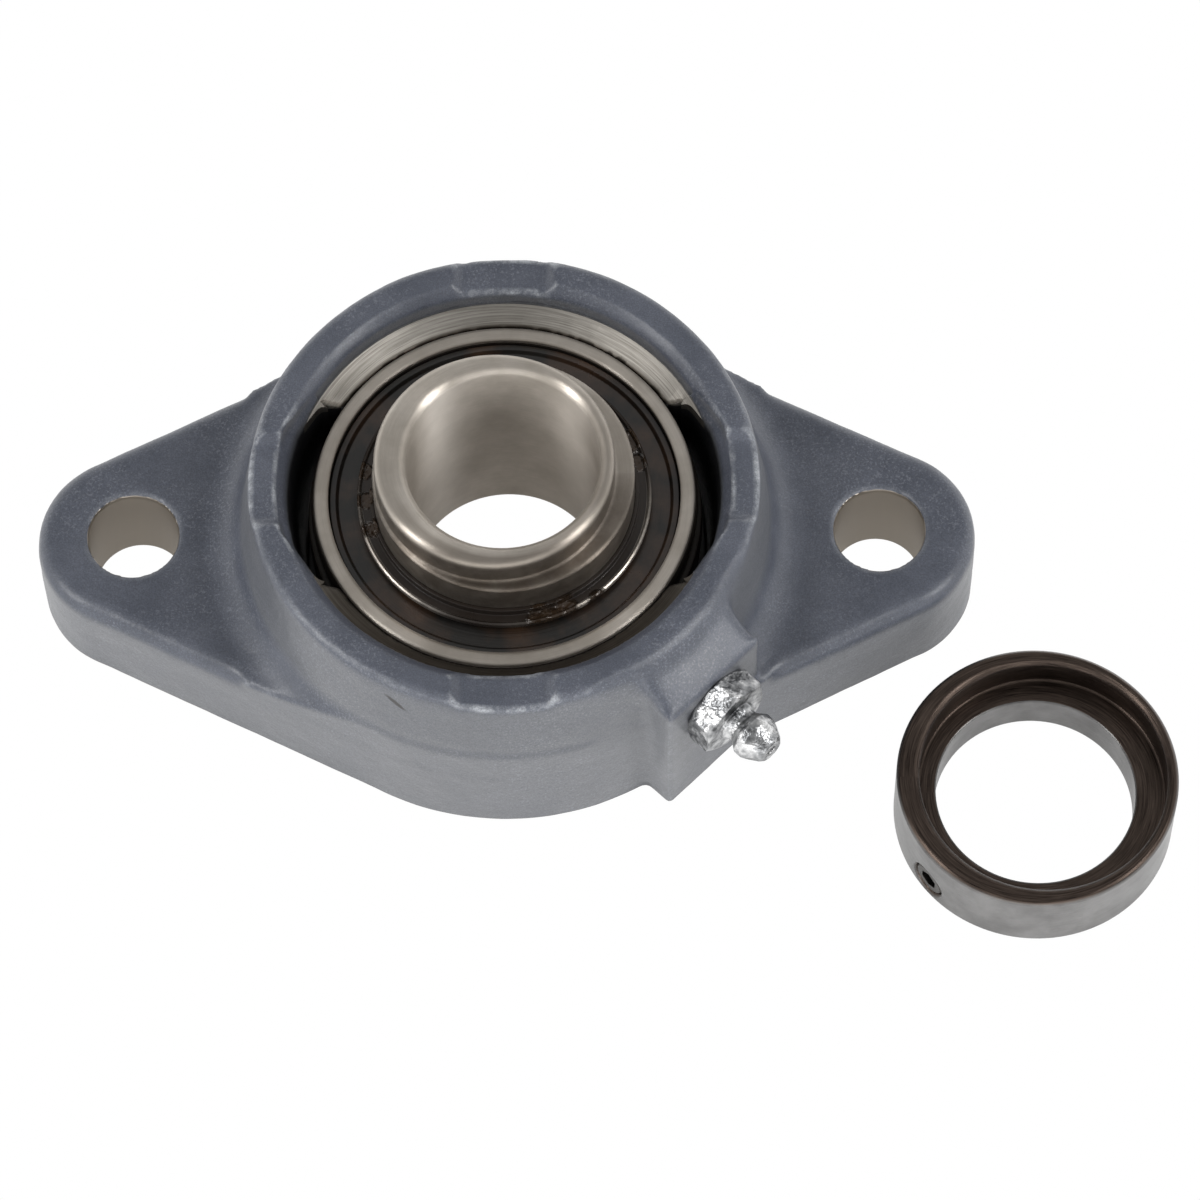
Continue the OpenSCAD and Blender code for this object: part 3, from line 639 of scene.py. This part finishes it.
def mark_edges(mesh):
    """Stores how far each vertex stands out of its surroundings, evened out, for the wear and painted
    highlights on the edges and the painted shade in the hollows.
    """
    mean = neighbour_mean(mesh)
    co = read_rows(mesh, "co") / MM
    bend = ((co - mean(co)) * read_rows(mesh, "normal")).sum(1)[:, None]
    for _ in range(BEND_ROUNDS):
        bend = (bend + mean(bend)) / 2
    marks = mesh.attributes.new("bend", "FLOAT", "POINT")
    marks.data.foreach_set("value", bend[:, 0] * BEND_GAIN + BEND_FLAT)


def longer_copy():
    """A merged copy of the plain housing, made longer below its mounting face."""
    bm = bmesh.new()
    bm.from_mesh(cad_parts["housing"].data)
    bmesh.ops.remove_doubles(bm, verts=bm.verts, dist=2e-6)
    for vertex in bm.verts:
        if vertex.co.z < 1e-6:
            vertex.co.z = -FOOT_SPARE * MM
    return linked("housing_casting", bm)


def cut_foot(mesh):
    """The mounting face is machined flat: what stands below it is cut off, and the cut is closed."""
    bm = bmesh.new()
    bm.from_mesh(mesh)
    whole = bm.verts[:] + bm.edges[:] + bm.faces[:]
    cut = bmesh.ops.bisect_plane(bm, geom=whole, dist=1e-8, plane_co=(0, 0, 0), plane_no=(0, 0, 1),
                                 clear_inner=True)["geom_cut"]
    rim = [part for part in cut if isinstance(part, bmesh.types.BMEdge)]
    bmesh.ops.triangle_fill(bm, edges=rim, use_beauty=True)
    bmesh.ops.recalc_face_normals(bm, faces=bm.faces)
    for vertex in bm.verts:
        vertex.co.z = max(vertex.co.z, 0.0)
    bm.to_mesh(mesh)
    bm.free()
    mesh.update()


def seat_cutter():
    """What the back bore, the spherical seat and the chamfer above it take away."""
    low = math.sqrt(SEAT_R ** 2 - BACK_BORE_R ** 2)
    high = SEAT_EDGE_Z - INSERT_Z
    start, end = -math.asin(low / SEAT_R), math.asin(high / SEAT_R)
    section = [(0, -2), (BACK_BORE_R, -2)]
    for i in range(SEAT_STEPS + 1):
        a = start + (end - start) * i / SEAT_STEPS
        section.append((SEAT_R * math.cos(a), INSERT_Z + SEAT_R * math.sin(a)))
    # It narrows above the chamfer, so as to stay clear of the rim
    section += [(MACHINED_R, MACHINED_Z), (MACHINED_R, MACHINED_Z + 0.4), (26.0, 40), (0, 40)]
    return revolve("seat_cutter", section, SEAT_SIDES)


def shank_cutter():
    """What the nipple's hole takes away, from a little outside the lug's face."""
    over = 5
    section = [(0, -SHANK_HOLE_DEPTH), (SHANK_HOLE_R, -SHANK_HOLE_DEPTH), (SHANK_HOLE_R, over), (0, over)]
    cutter = revolve("shank_cutter", section, SHANK_SIDES)
    out = Matrix.Translation((LUG_REACH * MM, 0, NIPPLE_Z * MM)) @ Matrix.Rotation(math.pi / 2, 4, "Y")
    cutter.data.transform(Matrix.Rotation(LUG_ANGLE, 4, "Z") @ out)
    return cutter


def machine(casting):
    """Cuts the back bore, the seat, the chamfer and the nipple's hole crisply into the casting."""
    cutters = [seat_cutter(), shank_cutter()]
    for cutter in cutters:
        cut = casting.modifiers.new("cut", "BOOLEAN")
        cut.operation = "DIFFERENCE"
        cut.solver = "EXACT"
        cut.object = cutter
    bpy.context.view_layer.update()
    apply_modifiers(casting)
    for cutter in cutters:
        bpy.data.objects.remove(cutter)


def cast_housing():
    """The housing as cast: the plain solid remeshed and relaxed, then machined again."""
    casting = longer_copy()
    remesh = casting.modifiers.new("cells", "REMESH")
    remesh.mode = "VOXEL"
    remesh.voxel_size = VOXEL * MM
    apply_modifiers(casting)
    relax(casting.data, RELAX_ALL, everywhere)
    relax(casting.data, RELAX_LUG, lug_weight)
    roughen(casting.data)
    true_up(casting.data)
    mark_edges(casting.data)
    cut_foot(casting.data)
    machine(casting)
    shade(casting, SHARP_FROM)
    return casting


def shade(thing, degrees):
    """Smooth shading, with edges that bend by more than the angle kept sharp."""
    mesh = thing.data
    mesh.shade_smooth()
    mesh.set_sharp_from_angle(angle=math.radians(degrees))


def dress(nodes, material):
    """Gives the material to pieces that keep the meshes of their solids."""
    for name in nodes:
        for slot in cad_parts[name].material_slots:
            slot.material = material


# Camera and light
def make_camera():
    """The photograph's view, fitted to its edges: angles in degrees, distance in millimetres."""
    elevation = math.radians(63.26)
    azimuth = math.radians(0.66)
    roll = math.radians(-1.07)
    distance = 762.58
    target = Vector((12.39, -10.47, 15.0))
    focal_px = 5789.75
    frame_px = 1200
    back = Vector((math.sin(azimuth) * math.cos(elevation), -math.cos(azimuth) * math.cos(elevation),
                   math.sin(elevation)))
    right = Vector((0, 0, 1)).cross(back).normalized()
    up = back.cross(right)
    x = math.cos(roll) * right + math.sin(roll) * up
    y = -math.sin(roll) * right + math.cos(roll) * up
    data = bpy.data.cameras.new("camera")
    data.sensor_width = 36
    data.lens = focal_px / frame_px * data.sensor_width
    data.clip_start = 0.05
    data.clip_end = 20
    camera = bpy.data.objects.new("camera", data)
    bpy.context.scene.collection.objects.link(camera)
    turn = Matrix((x, y, back)).transposed().to_4x4()
    camera.matrix_world = Matrix.Translation((target + back * distance) * MM) @ turn
    bpy.context.scene.camera = camera


def make_world():
    """A pale studio all round: brightest near the horizon, dimmer overhead, white to the camera."""
    world = bpy.data.worlds.new("studio")
    bpy.context.scene.world = world
    world.use_nodes = True
    t = world.node_tree
    t.nodes.clear()
    place = put(t, "TexCoord").outputs["Generated"]
    height = put(t, "SeparateXYZ", [place]).outputs[2]
    sky = ramp(t, height, (0.0, 1.0), (0.28, 0.8), (0.55, 0.34), (1.0, 0.34))
    light = put(t, "Background", {"Color": sky, "Strength": STUDIO_STRENGTH}).outputs[0]
    white = put(t, "Background", {"Color": (1, 1, 1, 1), "Strength": 1.0}).outputs[0]
    seen = put(t, "LightPath").outputs["Is Camera Ray"]
    mixed = put(t, "MixShader", [seen, light, white]).outputs[0]
    t.links.new(mixed, put(t, "OutputWorld").inputs[0])


def make_floor():
    """A pale light table: it takes light and shadow, and is plain white to the camera."""
    bpy.ops.mesh.primitive_plane_add(size=6, location=(0, 0, -0.02 * MM))
    floor = bpy.context.object
    floor.name = "floor"
    f = Finish("floor_pale")
    t = f.tree
    matte = put(t, "BsdfDiffuse", {"Color": (FLOOR_GREY, FLOOR_GREY, FLOOR_GREY, 1)}).outputs[0]
    glow = put(t, "Emission", {"Color": (1, 1, 1, 1), "Strength": FLOOR_GLOW}).outputs[0]
    lit = put(t, "AddShader", [matte, glow]).outputs[0]
    white = put(t, "Emission", {"Color": (1, 1, 1, 1), "Strength": 1.0}).outputs[0]
    seen = put(t, "LightPath").outputs["Is Camera Ray"]
    floor.data.materials.append(f.done(put(t, "MixShader", [seen, lit, white]).outputs[0]))


def softbox(name, place, size, power):
    """A rectangular lamp that faces the part: its place and size in metres, its power in watts."""
    part = Vector((0.01, -0.01, 0.015))
    data = bpy.data.lights.new(name, "AREA")
    data.shape = "RECTANGLE"
    data.size, data.size_y = size
    data.energy = power
    lamp = bpy.data.objects.new(name, data)
    bpy.context.scene.collection.objects.link(lamp)
    lamp.location = place
    lamp.rotation_euler = (part - Vector(place)).to_track_quat("-Z", "Y").to_euler()


def make_lights():
    softbox("left_box", (-0.80, -0.32, 0.72), (0.25, 0.6), 5.0)
    softbox("right_box", (0.80, -0.30, 0.72), (0.25, 0.6), 5.0)
    softbox("front_box", (0.0, -1.1, 0.25), (1.6, 0.4), 4.0)


# The scene
def build():
    casting = cast_housing()
    casting.data.materials.clear()
    casting.data.materials.append(cast_paint())
    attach(casting, "housing")
    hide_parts("housing")
    dress(["outer_ring"], ring_steel("outer_ring_steel", outer_ring_slot_shade))
    dress(["inner_ring"], ring_steel("inner_ring_steel", inner_ring_dark, nose=True))
    dress(["front_seal", "back_seal"], oily_rubber())
    dress(["front_flinger", "back_flinger"], stained_sheet())
    dress(["grease_nipple"], zinc())
    dress(["locking_collar"], collar_steel())
    dress(["set_screw"], bright_steel("oxide_black", SCREW_BLACK, 0.35, 0.15))
    cage = ["front_cage_half", "back_cage_half", "cage_rivets"]
    dress(cage, bright_steel("cage_steel", CAGE_GREY, 0.32))
    balls = [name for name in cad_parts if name.startswith("ball_")]
    polished = balls + ["nipple_check_ball", "nipple_spring"]
    dress(polished, bright_steel("ball_steel", BALL_BRIGHT, 0.08))
    make_camera()
    make_world()
    make_floor()
    make_lights()
    bpy.context.scene.view_settings.view_transform = "Standard"


build()
